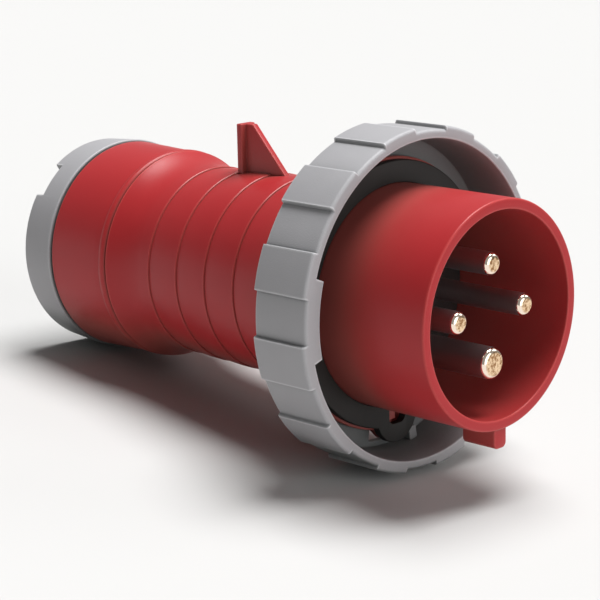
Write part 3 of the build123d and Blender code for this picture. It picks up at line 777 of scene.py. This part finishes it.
def makeLockingRing():
    size = lockingRing
    pitch = 360 / size["padCount"]

    def section(angle):
        pad = within(angle % pitch, pitch / 2, pitch / 2, size["padEdge"])
        outer = size["padRadius"] - size["padStep"] * (1 - pad)
        ramp, rampBack = 0.0, size["front"] - size["rampThin"]
        for middle in (0, 180):  # the nearer ramp gives the depth at this angle
            ramp = max(ramp, within(angle, middle, size["rampSpan"], size["rampEdge"]))
            if abs(angleFrom(angle, middle)) < 90:
                share = min(max(0.5 - angleFrom(angle, middle) / size["rampSpan"], 0), 1)
                rampBack = size["front"] - size["rampThin"] - share * (size["rampThick"] - size["rampThin"])
        wallSlope = (size["mouth"] - size["bore"]) / (size["front"] - size["webFront"])
        wall = size["mouth"] - wallSlope * (size["front"] - rampBack)
        mouth = size["mouth"] + (size["rampRadius"] - size["mouth"]) * ramp
        under = wall + (size["rampRadius"] - wall) * ramp
        return rounded([
            (size["front"], mouth, size["mouthSoft"]),
            (size["front"], outer, size["frontSoft"]),
            (size["back"], outer, size["backSoft"]),
            (size["back"], size["webBore"], size["webSoft"]),
            (size["webFront"], size["webBore"], size["webSoft"]),
            (size["webFront"], size["bore"], size["mouthSoft"]),
            (rampBack - size["rampLean"], wall, 0),
            (rampBack, under, size["rampSoft"]),
        ], steps=5)

    padEdges = [pitch * i + pitch / 4 * side for i in range(size["padCount"]) for side in (1, 3)]
    rampEdges = [middle + side * size["rampSpan"] / 2 for middle in (0, 180) for side in (-1, 1)]
    reach = meshing["edgeReach"]
    padAngles = evenAngles(meshing["sweepStep"], padEdges, spread=size["padEdge"] * reach, fine=10)
    rampAngles = evenAngles(30.0, rampEdges, spread=size["rampEdge"] * reach, fine=8)
    mesh = sweptMesh("lockingRing", sorted(set(padAngles) | set(rampAngles)), section)
    stopBack, stopFront = size["webFront"] - size["stopSink"], size["webFront"] + size["stopHeight"]
    half = size["stopWidth"] / 2
    stopOutline = [(stopBack, -half), (stopFront, -half), (stopFront, half), (stopBack, half)]
    for angle in size["stopAngles"]:
        stop = prismMesh(
            "stop", stopOutline, size["stopInner"], size["bore"] + size["stopRoot"], size["stopSoft"]
        )
        stop.transform(Matrix.Rotation(math.radians(angle - 90), 4, "X"))
        mesh = combine(mesh, stop, "UNION")
    window = sectorMesh(
        "window", size["back"] - size["windowPast"], size["webFront"] + size["windowPast"],
        size["windowInner"], size["windowOuter"], size["windowAngle"], size["windowSpan"],
    )
    mesh = combine(mesh, window, "DIFFERENCE")
    mesh.transform(Matrix.Rotation(math.radians(size["turn"]), 4, "X"))
    piece = finishMesh("greyLockingRing", mesh, "locking_ring", materials["greyPlastic"])
    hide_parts("locking_ring")


def sectorMesh(name, back, front, inner, outer, middle, span):
    # a block bent round the axis, to cut a window with
    count = 12
    points = []
    for i in range(count + 1):
        angle = math.radians(middle - span / 2 + span * i / count)
        for x, r in ((back, inner), (back, outer), (front, outer), (front, inner)):
            points.append((x, r * math.cos(angle), r * math.sin(angle)))
    faces = [(0, 1, 2, 3), tuple(4 * count + k for k in (3, 2, 1, 0))]
    for i in range(count):
        for k in range(4):
            n = (k + 1) % 4
            faces.append((4 * i + k, 4 * i + 4 + k, 4 * i + 4 + n, 4 * i + n))
    mesh = bpy.data.meshes.new(name)
    mesh.from_pydata(points, [], faces)
    closeSkin(mesh)
    return mesh


makeLockingRing()
print("locking ring made")


# Handle: collar, stepped grip, fin, shoulder, groove and bead, and the cylinder before the nut
handle = {
    "front": -36.4, "back": -119.2, "bore": 25.0, "boreBack": -42.9, "boreSoft": 0.3, "boreEdge": 0.4,
    "collar": 28.4, "collarBack": -42.4, "collarSoft": 0.8, "collarBackSoft": 0.4, "flareHollow": 0.6,
    "firstCrest": -87.5, "crestPitch": 9.75, "crestCount": 5, "crestRadius": 22.6, "crestGrowth": 0.25,
    "step": 0.34, "stepWidth": 0.26, "lipBack": 0.7, "lipDrop": 0.35, "crown": 0.12,
    "foot": -90.6, "footDrop": 0.05, "shoulder": -99.7, "shoulderEarly": 0.60, "body": 25.05,
    "valley": -100.4, "valleyDepth": 0.66, "bead": -102.4, "beadCrown": 0.62, "beadFoot": 0.12,
    "beadLean": 0.75, "beadFullness": 0.8, "beadRun": 2.0,
    "tail": 25.55, "tailSoft": 0.25, "spigot": 20.4, "spigotBack": -127.5, "spigotSoft": 0.6,
    "glandBore": 16.5, "glandBoreSoft": 0.3, "glandSeat": -110.0,
    "throat": 12.5, "cavity": 19.4, "cavityBack": -104.0, "cavityCone": 2.0,
    "sleeve": 20.3, "sleeveBack": -52.1,
    "finBack": -77.6, "finPlate": 1.7, "finPlateWidth": 4.4, "finWeb": 1.6, "finTop": 34.1,
    "finTopLength": 2.3, "finFoot": -62.9, "finRoot": 21.0, "finSoft": 0.22, "finBend": 0.3,
}


def makeHandle():
    size = handle

    def crest(ring):
        x = size["firstCrest"] + ring * size["crestPitch"]
        return (x, size["crestRadius"] + ring * size["crestGrowth"])

    def stepFoot(ring):
        x, r = crest(ring)
        return (x + size["stepWidth"], r - size["step"])

    last = size["crestCount"] - 1
    # the first and the last corner only lead the arcs beside them, and are dropped
    outline = rounded([
        (size["front"] - 4, size["bore"] + 1, 0),
        (size["front"], size["bore"], size["boreSoft"]),
        (size["front"], size["collar"], size["collarSoft"]),
        (size["collarBack"], size["collar"], size["collarBackSoft"]),
        (size["collarBack"] - 4, size["collar"] - 4, 0),
    ], steps=6)[1:-1]
    outline += bulge(outline[-1], stepFoot(last), size["flareHollow"], steps=12)
    for ring in range(last, -1, -1):
        foot, top = Vector(stepFoot(ring)), Vector(crest(ring))
        # a crisp little step with a lip that catches the light
        lip = top + Vector((size["stepWidth"] * size["lipBack"], -size["step"] * size["lipDrop"]))
        outline += [tuple(foot), tuple(lip), tuple(top)]
        if ring:
            outline += bulge(crest(ring), stepFoot(ring - 1), -size["crown"], steps=16)
    outline += shoulderCurve(size)
    inside = rounded([
        (size["bead"] - size["beadRun"], size["body"], 0),
        (size["back"], size["tail"], size["tailSoft"]),
        (size["back"], size["spigot"], 0),
        (size["spigotBack"], size["spigot"], size["spigotSoft"]),
        (size["spigotBack"], size["glandBore"], size["glandBoreSoft"]),
        (size["glandSeat"], size["glandBore"], 0),
        (size["glandSeat"], size["throat"], 0),
        (size["cavityBack"] - size["cavityCone"], size["throat"], 0),
        (size["cavityBack"], size["cavity"], 0),
        (size["sleeveBack"], size["cavity"], 0),
        (size["sleeveBack"], size["sleeve"], 0),
        (size["boreBack"], size["sleeve"], 0),
        (size["boreBack"], size["bore"], 0),
        (size["front"] - size["boreEdge"], size["bore"], 0),
    ], steps=6)
    outline += inside[1:]
    mesh = sweptMesh("handle", evenAngles(meshing["sweepStep"]), lambda angle: outline)
    mesh = combine(mesh, finMesh(size), "UNION")
    piece = finishMesh("redHandle", mesh, "housing", materials["redPlastic"], sharp=24)
    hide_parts("handle")


def shoulderCurve(size):
    # from the last crest up the hollow-footed shoulder, over the valley and the flush bead, to the body
    low, high = size["crestRadius"] - size["footDrop"], size["body"]
    shoulder, valley, bead = size["shoulder"], size["valley"], size["bead"]
    curve = []
    for i in range(25):
        rise = (1 - i / 24) ** size["shoulderEarly"]
        x = shoulder + (size["foot"] - shoulder) * (1 - i / 24)
        curve.append((x, high - (high - low) * ease(rise)))
    for i in range(1, 9):
        x = shoulder + (valley - shoulder) * i / 8
        curve.append((x, high - size["valleyDepth"] * ease(i / 8)))
    for i in range(1, 17):
        share = i / 16
        level = size["valleyDepth"] + (size["beadFoot"] - size["valleyDepth"]) * share
        ridge = math.sin(math.pi * share ** size["beadLean"]) ** size["beadFullness"] * size["beadCrown"]
        curve.append((valley + (bead - valley) * share, high - level + ridge))
    for i in range(1, 11):
        curve.append((bead - size["beadRun"] * i / 10, high - size["beadFoot"] * (1 - ease(i / 10))))
    return curve


def finMesh(size):
    # a cross plate at the back, then a thin web that slopes down to the grip
    back, plate = size["finBack"], size["finBack"] + size["finPlate"]
    top = plate + size["finTopLength"]
    wide, web = size["finPlateWidth"] / 2, size["finWeb"] / 2
    root = size["finRoot"]
    columns = [
        (back, -wide, size["finTop"]), (plate, -wide, size["finTop"]), (plate, -web, size["finTop"]),
        (top, -web, size["finTop"]), (size["finFoot"], -web, size["crestRadius"]),
        (size["finFoot"], web, size["crestRadius"]), (top, web, size["finTop"]),
        (plate, web, size["finTop"]), (plate, wide, size["finTop"]), (back, wide, size["finTop"]),
    ]
    bm = bmesh.new()
    low = [bm.verts.new((x, y, root)) for x, y, z in columns]
    high = [bm.verts.new((x, y, z)) for x, y, z in columns]
    for i in range(len(columns)):
        n = (i + 1) % len(columns)
        bm.faces.new((low[i], low[n], high[n], high[i]))
    for level in (low, high):
        for corners in ((0, 1, 2, 7, 8, 9), (2, 3, 6, 7), (3, 4, 5, 6)):
            bm.faces.new([level[i] for i in corners])
    bmesh.ops.recalc_face_normals(bm, faces=bm.faces)
    softenEdges(bm, size["finSoft"], size["finBend"])
    return meshFrom(bm, "fin")


makeHandle()
print("handle made")


# Gland nut: cap with a clamping cone inside and two spanner notches in its rear edge
glandNut = {
    "front": -119.8, "back": -130.3, "frontRadius": 26.0, "backRadius": 25.25,
    "frontSoft": 0.45, "backSoft": 0.9,
    "bore": 20.7, "boreSoft": 0.3, "wall": 2.4, "cableHole": 9.5, "cableHoleSoft": 0.5,
    "boss": 16.2, "bossFront": -121.3, "bossSoft": 0.3,
    "coneMouth": 14.6, "coneLength": 5.4, "coneSoft": 0.2,
    "notchDepth": 3.0, "notchFloor": 21.6, "notchSpan": 20.8, "notchAngle": 135.0, "notchEdge": 0.3,
    "notchSoft": 0.1, "notchSharpness": 0.6, "notchLean": 0.001, "notchStep": 0.02,
}


def makeGlandNut():
    size = glandNut
    middles = [size["notchAngle"] + turn for turn in (0, 180)]
    slope = (size["frontRadius"] - size["backRadius"]) / (size["front"] - size["back"])

    def section(angle):
        notch = max(within(angle, middle, size["notchSpan"], size["notchEdge"]) for middle in middles)
        corner = size["back"] + size["notchDepth"] * notch
        outer = size["backRadius"] + slope * (corner - size["back"])
        return rounded([
            (size["front"], size["bore"], size["boreSoft"]),
            (size["front"], size["frontRadius"], size["frontSoft"]),
            (corner, outer, size["backSoft"] * (1 - size["notchSharpness"] * notch)),
            (corner, size["notchFloor"], size["notchSoft"]),
            (size["back"] - size["notchLean"], size["notchFloor"] - size["notchStep"], size["notchSoft"]),
            (size["back"], size["cableHole"], size["cableHoleSoft"]),
            (size["bossFront"] - size["coneLength"], size["cableHole"], 0),
            (size["bossFront"], size["coneMouth"], size["coneSoft"]),
            (size["bossFront"], size["boss"], size["bossSoft"]),
            (size["back"] + size["wall"], size["boss"], 0),
            (size["back"] + size["wall"], size["bore"], 0),
        ], steps=5)

    edges = [middle + side * size["notchSpan"] / 2 for middle in middles for side in (-1, 1)]
    reach = size["notchEdge"] * meshing["edgeReach"]
    mesh = sweptMesh("glandNut", evenAngles(meshing["sweepStep"], edges, spread=reach, fine=10), section)
    piece = finishMesh("greyGlandNut", mesh, "gland_nut", materials["greyPlastic"])
    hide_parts("gland_nut")


makeGlandNut()
print("gland nut made")


# The pieces whose CAD shape stays, with their finishes
finishes = {
    "black_rubber": "blackRubber", "dark_plastic": "darkPlastic", "white_nylon": "whiteNylon",
    "contact_brass": "platedBrass", "screw_steel": "zincSteel", "red_plastic": "redPlastic",
    "grey_plastic": "greyPlastic",
}


def dressNodes():
    for part in record["subparts"]:
        node = frame["nodes"][part["node"]]
        node.data.materials.clear()
        node.data.materials.append(materials[finishes[part["material_slot"]]])
        smoothMesh(node.data, sharp=30)


dressNodes()
print("nodes dressed")


# Floor, light and camera
studio = {
    "floorSize": 8.0, "floorRoughness": 0.9, "floorSpecular": 0.1,
    "floorSeen": opaque(0.598, 0.595, 0.588), "floorBounce": opaque(0.54, 0.537, 0.53),
    "worldColour": opaque(0.93, 0.93, 0.925), "worldLight": 0.08, "worldMirrored": 0.33, "worldSeen": 1.01,
    "lamps": {
        "overheadLight": {"from": (-0.08, 0.24, 1.0), "softness": 36.0, "power": 4.4},
        "frontLight": {"from": (1.0, 0.05, 0.25), "softness": 60.0, "power": 1.42},
        "backLight": {"from": (0.32, 0.75, 0.58), "softness": 26.0, "power": 0.3},
    },
}
view = {
    "place": (0.32406, -0.33705, 0.16584), "turn": (73.435, -6.335, 45.233), "lens": 125.62, "sensor": 36.0,
}


def rayKinds(tree):
    # 1 for the rays of the camera, and 1 for those of a reflection
    path = tree.nodes.new("ShaderNodeLightPath")
    return path.outputs["Is Camera Ray"], path.outputs["Is Glossy Ray"]


def makeStudio():
    half = studio["floorSize"] / 2
    corners = [(-half, -half, 0), (half, -half, 0), (half, half, 0), (-half, half, 0)]
    mesh = bpy.data.meshes.new("floor")
    mesh.from_pydata(corners, [], [(0, 1, 2, 3)])
    floor = bpy.data.objects.new("floor", mesh)
    bpy.context.scene.collection.objects.link(floor)
    paint = bpy.data.materials.new("floorPaint")
    paint.use_nodes = True
    shader = paint.node_tree.nodes["Principled BSDF"]
    seen = mathNode(paint.node_tree, "MAXIMUM", *rayKinds(paint.node_tree))
    tint = mixColours(paint.node_tree, seen, studio["floorBounce"], studio["floorSeen"])
    feed(paint.node_tree, shader.inputs["Base Color"], tint)
    shader.inputs["Roughness"].default_value = studio["floorRoughness"]
    shader.inputs["Specular IOR Level"].default_value = studio["floorSpecular"]
    mesh.materials.append(paint)
    for name, lamp in studio["lamps"].items():
        light = bpy.data.lights.new(name, "SUN")
        light.angle = math.radians(lamp["softness"])
        light.energy = lamp["power"]
        holder = bpy.data.objects.new(name, light)
        holder.rotation_euler = Vector(lamp["from"]).to_track_quat("Z", "Y").to_euler()
        bpy.context.scene.collection.objects.link(holder)
    world = bpy.data.worlds.new("studioWorld")
    bpy.context.scene.world = world
    world.use_nodes = True
    tree = world.node_tree
    background = tree.nodes["Background"]
    background.inputs["Color"].default_value = studio["worldColour"]
    camera, mirror = rayKinds(tree)
    strength = rescale(tree, mirror, studio["worldLight"], studio["worldMirrored"])
    feed(tree, background.inputs["Strength"], rescale(tree, camera, strength, studio["worldSeen"]))


def makeCamera():
    camera = bpy.data.cameras.new("camera")
    camera.lens = view["lens"]
    camera.sensor_width = view["sensor"]
    holder = bpy.data.objects.new("camera", camera)
    holder.location = view["place"]
    holder.rotation_euler = tuple(math.radians(turn) for turn in view["turn"])
    bpy.context.scene.collection.objects.link(holder)
    bpy.context.scene.camera = holder


makeStudio()
makeCamera()
bpy.context.scene.view_settings.view_transform = "Standard"
print("studio made")
